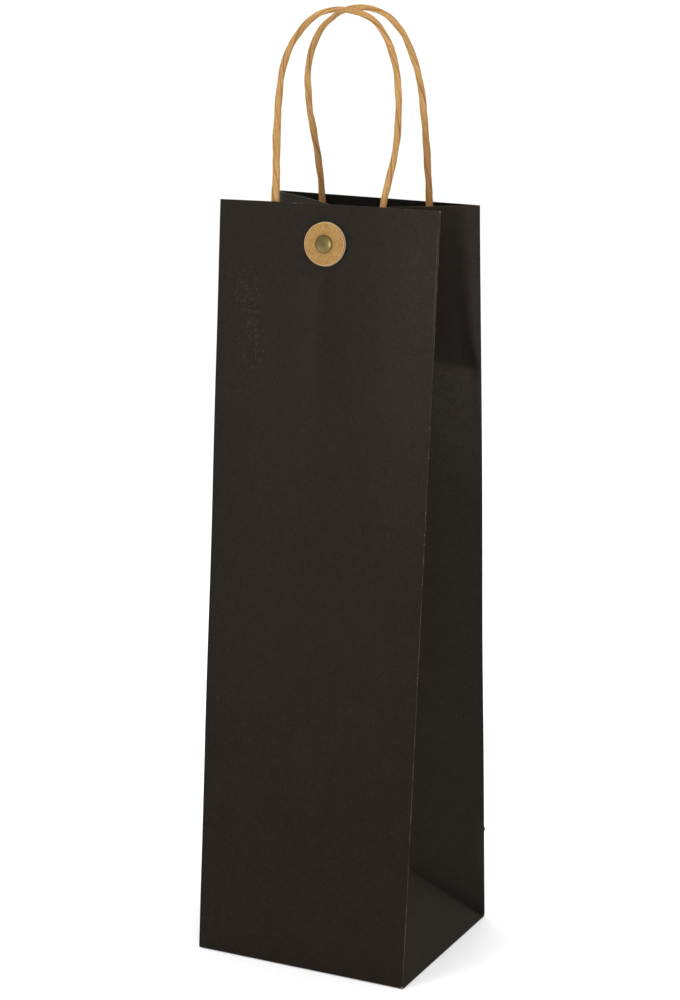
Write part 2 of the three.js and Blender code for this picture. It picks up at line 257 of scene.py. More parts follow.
def scuffs_and_painted_light(n, base):
    """Broken pale lines on the worn folds, kraft at the worn corners, dusty areas, and a rubbed tone that
    also carries painted light and painted shade.
    """
    rub = n.attribute("rub")
    speckle = n.fade(n.noise(900, 4, 0.75), 0.42, 0.62, 0.35, 1.0)
    # Where the rubbed tone is positive the paper is lightened: a rubbed, dusty tone mixed with painted
    # light.
    base = n.tint(base, n.math("MULTIPLY", rub, speckle, clamp=True), 0.22, DUST_AND_PAINTED_LIGHT)
    # Where the rubbed tone is negative the paper is darkened: painted shade.
    base = n.mix(n.math("MULTIPLY", rub, -0.6, clamp=True), base, (0.0015, 0.0012, 0.0010))
    distance = n.attribute("worn_distance")
    broken = n.fade(n.noise(1.0, 4, 0.6, n.stretched(700, 700, 110)), 0.38, 0.7)
    strength = n.math("ADD", 0.07, n.math("MULTIPLY", broken, 0.38))
    strength = n.math("MULTIPLY", strength, n.fade(n.axis(2), 0.15, 0.28, 1.0, 0.6))
    base = n.mix(n.math("MULTIPLY", n.fade(distance, 0.45, 0.05), strength), base, WORN_PAPER)
    flecks = n.math("MULTIPLY", n.specks(900, 0.3, 0.12), n.fade(distance, 0.95, 0.2))
    base = n.tint(base, flecks, 0.55, (0.30, 0.205, 0.12))
    second = n.math("MULTIPLY", n.fade(distance, 0.95, 1.15), n.fade(distance, 1.5, 1.3))
    second = n.math("MULTIPLY", second, n.attribute("second_fold"))
    base = n.tint(base, second, 0.13, WORN_PAPER)
    corner = n.math("ADD", n.attribute("corner_distance"), n.fade(n.noise(900, 3), 0.3, 0.7, -0.6, 0.6))
    base = n.mix(n.fade(corner, 1.5, 0.5, 0.0, 0.8), base, (0.27, 0.17, 0.09))
    dusty = n.attribute("dust")
    grains = n.math("MULTIPLY", dusty, n.specks(1500, 0.36, 0.15))
    haze = n.math("MULTIPLY", dusty, n.fade(n.noise(420, 4, 0.7), 0.5, 0.66, 0.0, 0.35))
    base = n.tint(base, haze, 0.5, DUST_AND_PAINTED_LIGHT)
    return n.tint(base, grains, 0.55, (0.105, 0.094, 0.080))


def cut_edge():
    n = Nodes("paper_cut_edge")
    fibre = n.noise(2600, 4, 0.7)
    base = n.mix(n.fade(fibre, 0.35, 0.65), (0.042, 0.032, 0.024), (0.17, 0.125, 0.085))
    n.look(Base_Color=base, Roughness=0.9)
    n.bump(fibre, 0.4, 0.0002)
    return n.material


def kraft_paper():
    n = Nodes("kraft_sheet")
    fibre = n.noise(1.0, 5, 0.7, n.stretched(500, 1800, 1800))
    base = n.mix(n.fade(n.noise(60, 4), 0.35, 0.7), (0.40, 0.245, 0.115), (0.49, 0.31, 0.15))
    base = n.tint(base, n.fade(fibre, 0.5, 0.75), 0.5, (0.27, 0.15, 0.06))
    base = n.tint(base, n.specks(700, 0.3, 0.12), 0.5, (0.17, 0.09, 0.035))
    n.look(Base_Color=base, Roughness=n.fade(n.noise(150), 0.3, 0.7, 0.72, 0.86), Specular_IOR_Level=0.35)
    n.bump(fibre, 0.3, 0.0003)
    return n.material


def kraft_card():
    """Speckled kraft card: fibres and flecks, a painted highlight on its rim, and painted shade on the
    front disc's side and in the gap below it.
    """
    n = Nodes("kraft_card")
    base = n.mix(n.fade(n.noise(420, 5, 0.7), 0.36, 0.66), (0.232, 0.126, 0.034), (0.285, 0.166, 0.051))
    base = n.tint(base, n.fade(n.noise(1150, 3, 0.7), 0.5, 0.66), 0.75, (0.145, 0.07, 0.019))
    base = n.tint(base, n.specks(1100, 0.4, 0.10), 0.5, (0.43, 0.29, 0.13))
    rim = n.attribute("rim")
    # Painted highlight along the card's top edge.
    base = n.mix(n.fade(rim, 0.955, 1.05, 0.0, 0.75), base, (0.47, 0.34, 0.20))
    # Painted shade on the disc's side and, darker, in the gap below it.
    base = n.mix(n.fade(rim, 1.25, 1.55, 0.0, 0.9), base, (0.07, 0.034, 0.012))
    base = n.mix(n.fade(rim, 2.1, 2.6, 0.0, 0.9), base, (0.03, 0.014, 0.005))
    n.look(Base_Color=base, Roughness=n.fade(n.noise(800), 0.3, 0.7, 0.7, 0.88), Specular_IOR_Level=0.35)
    n.bump(n.noise(1700, 4, 0.7), 0.35, 0.0003)
    return n.material


def kraft_cord():
    """Twisted kraft paper: painted shade in its grooves and on the back handle's ends, with fibres along
    the twist.
    """
    n = Nodes("kraft_cord")
    base = n.mix(n.fade(n.noise(90, 4), 0.35, 0.68), (0.335, 0.180, 0.049), (0.43, 0.252, 0.079))
    # The strand tone varies at random, and on the back handle it also carries painted shade towards the
    # ends.
    base = n.tint(base, n.attribute("strand_tone_and_shade"), 0.5, (0.265, 0.125, 0.032))
    streak = n.noise(1.0, 5, 0.7, n.stretched(2300, 2300, 330))
    base = n.tint(base, n.fade(streak, 0.47, 0.68), 0.68, (0.19, 0.085, 0.02))
    groove = n.attribute("groove")
    # Painted shade in the twist's grooves.
    base = n.mix(n.fade(groove, 0.08, 0.65, 0.0, 0.84), base, (0.08, 0.029, 0.0055))
    base = n.tint(base, n.specks(900, 0.28, 0.05), 0.6, (0.14, 0.07, 0.025))
    n.look(Base_Color=base, Roughness=n.fade(n.noise(300), 0.3, 0.7, 0.58, 0.76), Specular_IOR_Level=0.42)
    n.bump(streak, 0.3, 0.0003)
    return n.material


def grey_board():
    n = Nodes("grey_board")
    base = n.mix(n.fade(n.noise(300, 5, 0.7), 0.36, 0.66), (0.20, 0.175, 0.14), (0.32, 0.285, 0.235))
    base = n.tint(base, n.specks(500, 0.3, 0.2), 0.6, (0.09, 0.075, 0.06))
    base = n.tint(base, n.specks(720, 0.24, 0.12), 0.6, (0.5, 0.46, 0.39))
    n.look(Base_Color=base, Roughness=n.fade(n.noise(90), 0.3, 0.7, 0.8, 0.93), Specular_IOR_Level=0.3)
    n.bump(n.noise(900, 5, 0.7), 0.4, 0.0004)
    return n.material


def aged_brass():
    """Antique brass: dark in the hollows, rubbed bright in places."""
    n = Nodes("aged_brass")
    tarnish = n.fade(n.noise(230, 4, 0.55), 0.36, 0.68)
    base = n.mix(tarnish, (0.185, 0.142, 0.056), (0.125, 0.094, 0.034))
    base = n.tint(base, n.specks(1500, 0.3, 0.05), 0.5, (0.06, 0.045, 0.02))
    rough = n.fade(n.noise(900, 4), 0.3, 0.7, 0.28, 0.36)
    n.look(Base_Color=base, Metallic=1.0, Roughness=rough)
    n.bump(n.noise(500, 3, 0.5), 0.05, 0.0003)
    return n.material


MATERIALS = {
    "outside": black_paper("black_paper_outside"),
    # The inside is the same black paper, darkened as painted shade.
    "inside": black_paper("black_paper_inside", depth=0.3, worn=False),
    "cut_edge": cut_edge(),
    "kraft_sheet": kraft_paper(),
    "kraft_card": kraft_card(),
    "kraft_cord": kraft_cord(),
    "grey_board": grey_board(),
    "aged_brass": aged_brass(),
}


# ---- Handles: one twisted paper cord each, from one glued end to the other ----

CORD_DIAMETER = 3.4 * MM
CORD_STEP = 0.9 * MM
CORD_SIDES = 40
TWIST_PITCH = 46 * MM
# Angle, half width and depth of each groove around the cord.
GROOVES = ((0.3, 0.2, 1.0), (1.7, 0.13, 0.55), (2.7, 0.17, 0.85), (4.1, 0.19, 0.95), (5.2, 0.13, 0.6))
PRESSED_WIDTH = {
    ("front", "left"): 1.24, ("front", "right"): 1.0, ("back", "left"): 1.04, ("back", "right"): 1.08,
}
BEND_FLATTENING = 0.86  # the cord's thickness in the plane of the loop at its top

# The loops' routes, the same as in the CAD, in metres.
LOOP_ROUTE = {
    "front": (
        (-0.034, -0.022, 0.4135), (-0.0345, -0.021, 0.4265), (-0.0345, -0.02, 0.441),
        (-0.034, -0.019, 0.4545), (-0.0325, -0.018, 0.4665), (-0.029, -0.0175, 0.476),
        (-0.025, -0.017, 0.4825), (-0.0195, -0.017, 0.4885), (-0.013, -0.017, 0.493),
        (-0.0055, -0.017, 0.495), (0.0025, -0.017, 0.495), (0.01, -0.017, 0.4935),
        (0.016, -0.017, 0.491), (0.0205, -0.017, 0.487), (0.0245, -0.017, 0.481),
        (0.0275, -0.0175, 0.475), (0.03, -0.0175, 0.466), (0.0315, -0.018, 0.455),
        (0.032, -0.0185, 0.444), (0.031, -0.019, 0.4275), (0.028, -0.0195, 0.413),
    ),
    "back": (
        (-0.03, 0.02, 0.413), (-0.0305, 0.0155, 0.428), (-0.032, 0.012, 0.443), (-0.032, 0.01, 0.452),
        (-0.032, 0.009, 0.46), (-0.031, 0.008, 0.467), (-0.028, 0.0075, 0.477),
        (-0.0235, 0.007, 0.485), (-0.018, 0.007, 0.49), (-0.013, 0.007, 0.4935),
        (-0.006, 0.007, 0.4955), (0.0015, 0.007, 0.496), (0.0085, 0.007, 0.4945),
        (0.0145, 0.007, 0.4915), (0.019, 0.007, 0.4875), (0.0225, 0.0075, 0.483),
        (0.0275, 0.008, 0.4725), (0.0315, 0.0085, 0.4595), (0.0335, 0.011, 0.4385),
        (0.0335, 0.0155, 0.418),
    ),
}
CORD_TWIST_START = {"front": 0.6, "back": 2.3}


def glued_end(face, hand):
    """The middle of the lower and upper end of a cord's glued end."""
    node = f"{face}_cord_end_{hand}"
    low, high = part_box(node)
    points = np.array([v.co for v in frame["nodes"][node].data.vertices])
    upper = points[:, 2] > (low.z + high.z) / 2
    return points[~upper].mean(0), points[upper].mean(0)


def between(t, low, high, a, b):
    """The first value where t is low, the second where it is high, and a straight blend between."""
    return (high - t) / (high - low) * a + (t - low) / (high - low) * b


def smooth_route(points, step):
    """Evenly spaced points on a centripetal Catmull-Rom curve through the given ones."""
    points = np.array(points, float)
    points = np.vstack([2 * points[0] - points[1], points, 2 * points[-1] - points[-2]])
    fine = []
    for i in range(len(points) - 3):
        p = points[i:i + 4]
        knots = np.concatenate([[0], np.cumsum(np.linalg.norm(np.diff(p, axis=0), axis=1) ** 0.5)])
        t = np.linspace(knots[1], knots[2], 40, endpoint=False)[:, None]
        a = [between(t, knots[k], knots[k + 1], p[k], p[k + 1]) for k in range(3)]
        b = [between(t, knots[k], knots[k + 2], a[k], a[k + 1]) for k in range(2)]
        fine.append(between(t, knots[1], knots[2], b[0], b[1]))
    fine = np.vstack([*fine, points[-2]])
    along = np.concatenate([[0], np.cumsum(np.linalg.norm(np.diff(fine, axis=0), axis=1))])
    at = np.linspace(0, along[-1], math.ceil(along[-1] / step) + 1)
    return np.stack([np.interp(at, along, fine[:, k]) for k in range(3)], axis=1)


def ring_axes(path):
    """Two directions across the cord at each point of its path, carried along without turning."""
    tangent = np.gradient(path, axis=0)
    tangent /= np.linalg.norm(tangent, axis=1)[:, None]
    first = np.cross(tangent[0], (0.0, 1.0, 0.0))
    across = [first / np.linalg.norm(first)]
    for direction in tangent[1:]:
        carried = across[-1] - direction * (across[-1] @ direction)
        across.append(carried / np.linalg.norm(carried))
    across = np.array(across)
    return across, np.cross(tangent, across)


def twisted_section(angle, along, seed):
    """Radius share, groove depth and tone of the cord's surface at an angle and a distance along."""
    turned = angle + 2 * math.pi * along / TWIST_PITCH
    wander = 0.35 * noise.noise(Vector((along * 45, seed, 0)))
    groove = 0.0
    for place, half_width, depth in GROOVES:
        away = (turned + wander * (1 + place * 0.2) - place + math.pi) % (2 * math.pi) - math.pi
        fading = 0.62 + 0.38 * noise.noise(Vector((along * 38, place * 3, seed)))
        groove = max(groove, depth * fading * math.exp(-((away / half_width) ** 2)))
    facets = 0.065 * math.cos(2 * turned + 1.2 * math.sin(along * 60 + seed))
    facets += 0.035 * math.cos(3 * turned + seed)
    cosine, sine = math.cos(turned), math.sin(turned)
    lumps = 0.035 * noise.noise(Vector((along * 140, cosine * 0.8, sine * 0.8 + seed)))
    wrinkle = 0.02 * noise.noise(Vector((along * 420, cosine * 2.2 + seed, sine * 2.2)))
    tone = 0.5 + 0.5 * noise.noise(Vector((turned * 1.3, along * 25, seed)))
    return 1.0 + facets + lumps + wrinkle - 0.18 * groove, groove, tone


def cord_width(face, centre, top):
    """How wide the cord is in the plane of its loop: pressed wide near its ends, flattened at its top."""
    hand = "left" if centre[0] < 0 else "right"
    near_end = smooth_step(top - centre[2], 35 * MM, 62 * MM)
    near_top = smooth_step(top - centre[2], 22 * MM, 4 * MM)
    return 1 + (PRESSED_WIDTH[face, hand] - 1) * near_end + (BEND_FLATTENING - 1) * near_top


def add_handle(face):
    (left_low, left_high), (right_low, right_high) = glued_end(face, "left"), glued_end(face, "right")
    route = [left_low, left_high, *LOOP_ROUTE[face], right_high, right_low]
    path = smooth_route(route, CORD_STEP)
    across, other = ring_axes(path)
    radius = CORD_DIAMETER / 2
    seed = CORD_TWIST_START[face]
    top = path[:, 2].max()
    # Painted shade on the back handle's ends near the mouth, where the cord is shaded inside the bag.
    painted_shade_near_ends = 1.4 if face == "back" else 0.0
    points, grooves, tones = [], [], []
    for i, centre in enumerate(path):
        wide = cord_width(face, centre, top)
        for k in range(CORD_SIDES):
            angle = 2 * math.pi * k / CORD_SIDES
            share, groove, tone = twisted_section(angle + seed, i * CORD_STEP, seed)
            sideways = math.cos(angle) * wide * across[i] + math.sin(angle) / wide * other[i]
            points.append(centre + radius * share * sideways)
            grooves.append(groove)
            tones.append(tone + painted_shade_near_ends * smooth_step(top - centre[2], 30 * MM, 85 * MM))
    faces = []
    for i in range(len(path) - 1):
        for k in range(CORD_SIDES):
            a, b = i * CORD_SIDES + k, i * CORD_SIDES + (k + 1) % CORD_SIDES
            faces.append((a, b, b + CORD_SIDES, a + CORD_SIDES))
    faces.append(tuple(reversed(range(CORD_SIDES))))
    faces.append(tuple(range((len(path) - 1) * CORD_SIDES, len(path) * CORD_SIDES)))
    name = f"{face}_handle_cord"
    made = new_object(name, points, faces, [MATERIALS["kraft_cord"]])
    add_attribute(made, "groove", grooves)
    add_attribute(made, "strand_tone_and_shade", tones)
    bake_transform(made)
    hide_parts(f"{face}_handle", f"{face}_cord_end_left", f"{face}_cord_end_right")


for face in FACES:
    add_handle(face)


# ---- Paper body: one folded sheet in three pieces that meet on its creases ----

PAPER = 0.32 * MM
NEAR_FOLD = tuple(d * MM for d in (0.0, 0.35, 0.75, 1.3, 2.1, 3.3, 5.0))
CELL = 2.7 * MM
FOOT_ROUNDING = 0.9 * MM
SEAM_WIDTH = 16 * MM
SEAM_STEP = 0.3 * MM
DENT_BELOW_MOUTH = 86 * MM
DENT_DEPTH = 4.2 * MM
SHOULDER = 9 * MM  # strip of gusset beside its corner crease that stays in line with the side


def graded(length, near_start=NEAR_FOLD, near_end=NEAR_FOLD, extra=()):
    """Distances along a length, close together near its ends and near the extra places."""
    start, end = list(near_start), [length - d for d in near_end]
    low, high = max(start, default=0), min(end, default=length)
    middle = np.linspace(low, high, max(2, round((high - low) / CELL) + 1))
    return np.unique(np.round([*start, *middle, *end, *extra], 7))


def soft(x, y, seed):
    return noise.noise(Vector((x, y, seed)))


FOLD_HEIGHT = math.sqrt((DEPTH / 2) ** 2 - FOLD_INSET ** 2)  # of the lower triangle's tip
NICK_AT = FOLD_HEIGHT + 5.5 * MM
NEAR_NICK = [NICK_AT + d * MM for d in (-1.5, -0.75, 0, 0.75, 1.5)]
UP = graded(
    HEIGHT, near_start=(0, 0.2 * MM, 0.45 * MM, FOOT_ROUNDING, 2 * MM), near_end=(0, 0.5 * MM, 1.5 * MM),
    extra=NEAR_NICK,
)
RISE = UP / HEIGHT
SEAM_AT = -WIDTH / 2 + SEAM_WIDTH
ACROSS = {
    "front": graded(WIDTH) - WIDTH / 2,
    "back": graded(WIDTH, extra=(SEAM_WIDTH - 0.15 * MM, SEAM_WIDTH + 0.15 * MM)) - WIDTH / 2,
}
INWARD = graded(DEPTH / 2)


def flat_panel(face, across, up):
    """A point of the smooth outer face of a panel, as in the CAD."""
    rise, share = up / HEIGHT, across / WIDTH + 0.5
    bottom = FOOT[face, "left"].lerp(FOOT[face, "right"], share)
    point = bottom.lerp(TOP[face, "left"].lerp(TOP[face, "right"], share), rise)
    point.y -= OUT[face] * TOP_BOW[face] * rise ** 2 * (1 - (2 * across / WIDTH) ** 2)
    return point


def edge_wander(face, hand, up):
    """How far a corner crease strays from straight, along X and Y."""
    seed = {"front": 1.7, "back": 5.3}[face] + SIDE[hand]
    hold = smooth_step(up, 0, 25 * MM)
    x = 0.35 * MM * soft(up / 0.11, 0, seed) * hold
    y = 0.45 * MM * soft(up / 0.09, 3, seed) * hold
    return x, y


def nick(face, hand, away, up):
    """How far a small nick in the back-right corner crease pushes the paper sideways."""
    if (face, hand) != ("back", "right"):
        return 0.0
    return 0.6 * MM * math.exp(-(((up - NICK_AT) / (0.9 * MM)) ** 2) - away / (1.5 * MM))


def panel_relief(face, across, up):
    """How far a panel's paper stands out from the smooth face."""
    half = WIDTH / 2
    across_share = 1 - (across / half) ** 2
    below_mouth = HEIGHT - up
    hold = smooth_step(up, 0, 45 * MM) * across_share
    calm = 1 - 0.8 * smooth_step(below_mouth, 75 * MM, 45 * MM)
    seed = {"front": 11.0, "back": 23.0}[face]
    relief = 0.75 * MM * soft(across / 0.075, up / 0.13, seed)
    relief += 0.20 * MM * soft(across / 0.028, up / 0.045, seed + 4)
    relief += 0.55 * MM * math.sin(math.pi * min(up / HEIGHT, 1))
    relief *= hold * calm
    fold_line = max(0.0, 1 - abs(across) / (26 * MM)) * smooth_step(below_mouth, 115 * MM, 60 * MM)
    if face == "front":
        relief -= 0.16 * MM * fold_line * smooth_step(below_mouth, 8 * MM, 34 * MM)
    else:
        seam = smooth_step(across, SEAM_AT + 0.15 * MM, SEAM_AT - 0.15 * MM)
        relief += SEAM_STEP * seam * smooth_step(up, 0, 4 * MM)
        across_crease = math.exp(-(((up - FOLD_HEIGHT - 3 * MM) / (1.6 * MM)) ** 2))
        relief -= 0.3 * MM * across_crease * min(1.0, (half - abs(across)) / (8 * MM))
    if up < FOOT_ROUNDING:
        relief -= 0.5 * MM * (1 - up / FOOT_ROUNDING) ** 2
    return relief


def panel_patch(face):
    rows = []
    for up in UP:
        left, right = edge_wander(face, "left", up), edge_wander(face, "right", up)
        row = []
        for across in ACROSS[face]:
            point = flat_panel(face, across, up)
            share = across / WIDTH + 0.5
            for axis in (0, 1):
                point[axis] += left[axis] * (1 - share) ** 5 + right[axis] * share ** 5
            point.x += nick(face, "right", WIDTH / 2 - across, up)
            point.y += OUT[face] * panel_relief(face, across, up)
            row.append(point)
        rows.append(row)
    return np.array(rows)


def fold_point(hand):
    return Vector((SIDE[hand] * (WIDTH / 2 - FOLD_INSET), 0, FOLD_HEIGHT))


def mouth_apex(hand):
    """Where the V's centre crease meets the mouth: each half-gusset keeps its paper width."""
    front, back = TOP["front", hand], TOP["back", hand]
    chord = back - front
    inset = math.sqrt((DEPTH / 2) ** 2 - (chord.length / 2) ** 2)
    inward = Vector((-chord.y, chord.x, 0)).normalized() * -SIDE[hand]
    if inward.x * SIDE[hand] > 0:
        inward.negate()
    apex = (front + back) / 2 + inward * inset
    apex.z = (front.z + back.z) / 2 - APEX_DROP
    return apex


def gusset_relief(face, hand, inward, up):
    """How far a half-gusset's paper stands out, towards the outside of the V."""
    share = inward / (DEPTH / 2)
    below_mouth = HEIGHT - up
    seed = {"front": 31.0, "back": 43.0}[face] + 5 * SIDE[hand]
    hold = math.sin(math.pi * share) * smooth_step(up, 6 * MM, 60 * MM)
    relief = 1.3 * MM * soft(inward / 0.05, up / 0.12, seed) * hold
    relief += 0.15 * MM * soft(inward / 0.02, up / 0.035, seed + 3) * hold
    upper = smooth_step(below_mouth, 130 * MM, 40 * MM)
    ridge = share / 0.1 if share < 0.1 else (1 - share) / 0.9
    relief += 1.9 * MM * upper * max(0.0, ridge) ** 1.5
    if (face, hand) == ("back", "right"):
        sinking = min(below_mouth / DENT_BELOW_MOUTH, 1.0) ** 1.5
        ledge = smooth_step(below_mouth, DENT_BELOW_MOUTH + 4 * MM, DENT_BELOW_MOUTH - 0.5 * MM)
        slope = smooth_step(below_mouth, DENT_BELOW_MOUTH + 60 * MM, DENT_BELOW_MOUTH)
        relief -= DENT_DEPTH * sinking * (0.6 * ledge + 0.4 * slope) * inside_dent(inward, below_mouth)
    hollow = 1.6 * MM if (face, hand) == ("back", "right") else 0.6 * MM
    ends = smooth_step(share, 0.0, 0.12) * smooth_step(share, 1.0, 0.8)
    return relief - hollow * ends * math.exp(-up / (6 * MM))


def inside_dent(inward, below_mouth):
    """1 inside the dent of the right gusset's back half, 0 on the strip beside its corner crease."""
    border = SHOULDER * (1 - 0.8 * min(below_mouth / DENT_BELOW_MOUTH, 1.0) ** 3)
    return smooth_step(inward, border * 0.5, border + 4 * MM) * smooth_step(inward / (DEPTH / 2), 1.0, 0.75)


def panel_marks(face, across, up):
    """Rubbed tone with painted light and shade, dust and the strength of the second fold line on a panel.
    """
    if face == "back":
        return 0.25 * soft(across / 0.05, up / 0.09, 61.0), 0.0, 0.0
    below_mouth = HEIGHT - up
    # Painted light on the front's top right and painted shade on its top left, for how the bowed panel
    # meets the light.
    painted_light_corner = smooth_step(across, 10 * MM, 50 * MM) * smooth_step(below_mouth, 200 * MM, 20 * MM)
    painted_shade_corner = smooth_step(across, -15 * MM, -50 * MM) * smooth_step(below_mouth, 140 * MM, 20 * MM)
    # Painted light and painted shade beside the front's centre fold: lighter on its left, darker on its
    # right.
    beside_line = smooth_step(below_mouth, 32 * MM, 42 * MM) * smooth_step(below_mouth, 115 * MM, 80 * MM)
    from_line = across + 4 * MM
    side = math.copysign(min(abs(from_line) / (1.5 * MM), 1.0), -from_line)
    tone = side * math.exp(-abs(from_line) / (14 * MM))
    # Slightly darker towards the bottom.
    low = smooth_step(up, 130 * MM, 10 * MM)
    rub = 0.7 * painted_light_corner - 0.12 * painted_shade_corner + 0.38 * tone * beside_line - 0.15 * low
    rub += 0.1 * soft(across / 0.045, up / 0.07, 57.0)
    dust_middle = -39 * MM - 0.14 * (up - 0.32)
    dust = math.exp(-((across - dust_middle) / (7.5 * MM)) ** 2)
    dust *= smooth_step(up, 0.306, 0.322) * smooth_step(up, 0.376, 0.356)
    second = smooth_step(across, 40 * MM, 45 * MM) * smooth_step(below_mouth, 68 * MM, 50 * MM)
    return rub, dust, second * smooth_step(below_mouth, 8 * MM, 14 * MM)


def gusset_marks(face, hand, inward, up):
    """Rubbed tone with painted light and shade, dust and second fold line on a half-gusset."""
    below_mouth = HEIGHT - up
    rub = 0.12 * soft(inward / 0.03, up / 0.07, 71.0)
    if (face, hand) == ("back", "right"):
        # Lighter below the dent on the right gusset's back half: a rubbed, speckled zone mixed with painted
        # light.
        under = smooth_step(below_mouth, DENT_BELOW_MOUTH - 1 * MM, DENT_BELOW_MOUTH + 2 * MM)
        rub += 0.95 * under * smooth_step(below_mouth, 170 * MM, 90 * MM)
        # Painted shadow inside the dent, where the V pocket is shaded.
        inside = inside_dent(inward, below_mouth)
        rub -= 0.6 * (1 - under) * smooth_step(below_mouth, -20 * MM, 60 * MM) * inside
        # Painted light on the strip beside the corner crease, which stands out of the V.
        rub += 0.85 * (1 - under) * (1 - inside)
        # Painted shade above the lower diagonal fold, darkest near the corner crease.
        rub -= (1.55 - 1.1 * inward / (DEPTH / 2)) * math.exp(-up / (8 * MM))
        # Painted glint along the corner crease below the nick.
        beside_nick = smooth_step(up, 25 * MM, 33 * MM) * smooth_step(up, 62 * MM, 52 * MM)
        rub += 0.9 * beside_nick * math.exp(-inward / (2.5 * MM))
    return rub, 0.0, 0.0


def gusset_patch(face, hand, corner_line):
    centre_low, centre_high = fold_point(hand), mouth_apex(hand)
    base = np.zeros((len(UP), len(INWARD), 3))
    for j, up in enumerate(UP):
        corner = Vector(corner_line[j]) - Vector((nick(face, hand, 0, up), 0, 0))
        crease = centre_low.lerp(centre_high, RISE[j])
        for i, inward in enumerate(INWARD):
            base[j, i] = corner.lerp(crease, inward / (DEPTH / 2))
            base[j, i, 0] += nick(face, hand, inward, up)
    base[:, 0] = corner_line
    diagonal = base[0].copy()
    normal = grid_normals(base)
    if normal[len(UP) // 2, len(INWARD) // 2][0] * SIDE[hand] < 0:
        normal = -normal
    for j, up in enumerate(UP):
        for i, inward in enumerate(INWARD[1:-1], 1):
            base[j, i] += normal[j, i] * gusset_relief(face, hand, inward, up)
    return base, diagonal


def grid_normals(grid):
    """Unit normals of a grid of points, from its differences."""
    normal = np.cross(np.gradient(grid, axis=1), np.gradient(grid, axis=0))
    return normal / np.maximum(np.linalg.norm(normal, axis=2), 1e-12)[:, :, None]


def key(point):
    return tuple(np.round(point * 1e6).astype(int))


def grid_faces(grid, outward):
    """The grid's quads as corner keys, wound to face outward; a collapsed edge leaves a triangle."""
    middle = grid[len(grid) // 2, grid.shape[1] // 2]
    turn = np.cross(grid[1, 1] - grid[1, 0], grid[2, 1] - grid[1, 1])
    if abs(np.dot(turn, outward)) < 1e-14:
        turn = np.cross(grid[0, -1] - grid[0, 0], middle - grid[0, 0])
    forward = np.dot(turn, outward) > 0
    faces = []
    for j in range(grid.shape[0] - 1):
        for i in range(grid.shape[1] - 1):
            corners = [grid[j, i], grid[j, i + 1], grid[j + 1, i + 1], grid[j + 1, i]]
            keys = list(dict.fromkeys(key(c) for c in corners))
            if len(keys) >= 3:
                faces.append(keys if forward else keys[::-1])
    return faces


PANEL = {face: panel_patch(face) for face in FACES}
GUSSET = {}
DIAGONAL = {}  # each half-gusset's lower fold before its relief
for face in FACES:
    for hand in HANDS:
        corner_line = PANEL[face][:, 0 if hand == "left" else -1]
        GUSSET[face, hand], DIAGONAL[face, hand] = gusset_patch(face, hand, corner_line)


# Columns of the lower triangle, close together near its diagonal folds.
TRIANGLE_COLUMNS = np.concatenate([
    [0, 0.006, 0.015, 0.03], np.linspace(0.05, 0.95, 34), [0.97, 0.985, 0.994, 1],
])


def triangle_patch(hand):
    """The lower triangle, from its foot edge to the fold point; its relief fades from the diagonals."""
    rows = []
    for i in range(len(INWARD)):
        front, back = DIAGONAL["front", hand][i], DIAGONAL["back", hand][i]
        front_shift, back_shift = GUSSET["front", hand][0][i] - front, GUSSET["back", hand][0][i] - back
        length = np.linalg.norm(back - front)
        row = []
        for share in TRIANGLE_COLUMNS:
            point = front * (1 - share) + back * share
            point = point + front_shift * math.exp(-share * length / (2.2 * MM))
            row.append(point + back_shift * math.exp(-(1 - share) * length / (2.2 * MM)))
        row[0], row[-1] = GUSSET["front", hand][0][i], GUSSET["back", hand][0][i]
        rows.append(row)
    return np.array(rows)


TRIANGLE = {hand: triangle_patch(hand) for hand in HANDS}

SHELL = {}  # key of an outer point: [point, sum of face normals]


def register(faces, positions):
    for face in faces:
        points = [positions[k] for k in face]
        normal = np.cross(points[1] - points[0], points[2] - points[0])
        if len(points) == 4:
            normal = normal + np.cross(points[2] - points[0], points[3] - points[0])
        length = np.linalg.norm(normal)
        for k, p in zip(face, points):
            entry = SHELL.setdefault(k, [p, np.zeros(3)])
            entry[1] = entry[1] + normal / max(length, 1e-15)


def positions_of(grid):
    return {key(p): p for p in grid.reshape(-1, 3)}


PATCHES = {}
for face in FACES:
    PATCHES[face, "panel"] = (PANEL[face], (0, OUT[face], 0))
    for hand in HANDS:
        PATCHES[face, hand] = (GUSSET[face, hand], (SIDE[hand], 0, 0))
for hand in HANDS:
    PATCHES["base", hand] = (TRIANGLE[hand], (SIDE[hand], 0, 0.3))

PATCH_FACES = {}
for name, (grid, outward) in PATCHES.items():
    PATCH_FACES[name] = grid_faces(grid, np.array(outward, float))
    register(PATCH_FACES[name], positions_of(grid))

MOUTH_KEYS = {key(p) for name, (grid, _) in PATCHES.items() if name[0] != "base" for p in grid[-1]}

# How much less than the most worn fold or corner each of the others is worn, in millimetres.
EDGE_LESS_WORN = {
    ("front", "right"): 0.0, ("front", "left"): 0.38, ("back", "right"): 0.42, ("back", "left"): 0.25,
}
CORNER_LESS_WORN = [
    (FOOT["back", "right"], 0.0), (FOOT["front", "right"], 0.1), (FOOT["back", "left"], 0.3),
    (FOOT["front", "left"], 0.9), (TOP["front", "right"], 0.55), (TOP["back", "left"], 0.8),
    (mouth_apex("left"), 0.7),
]


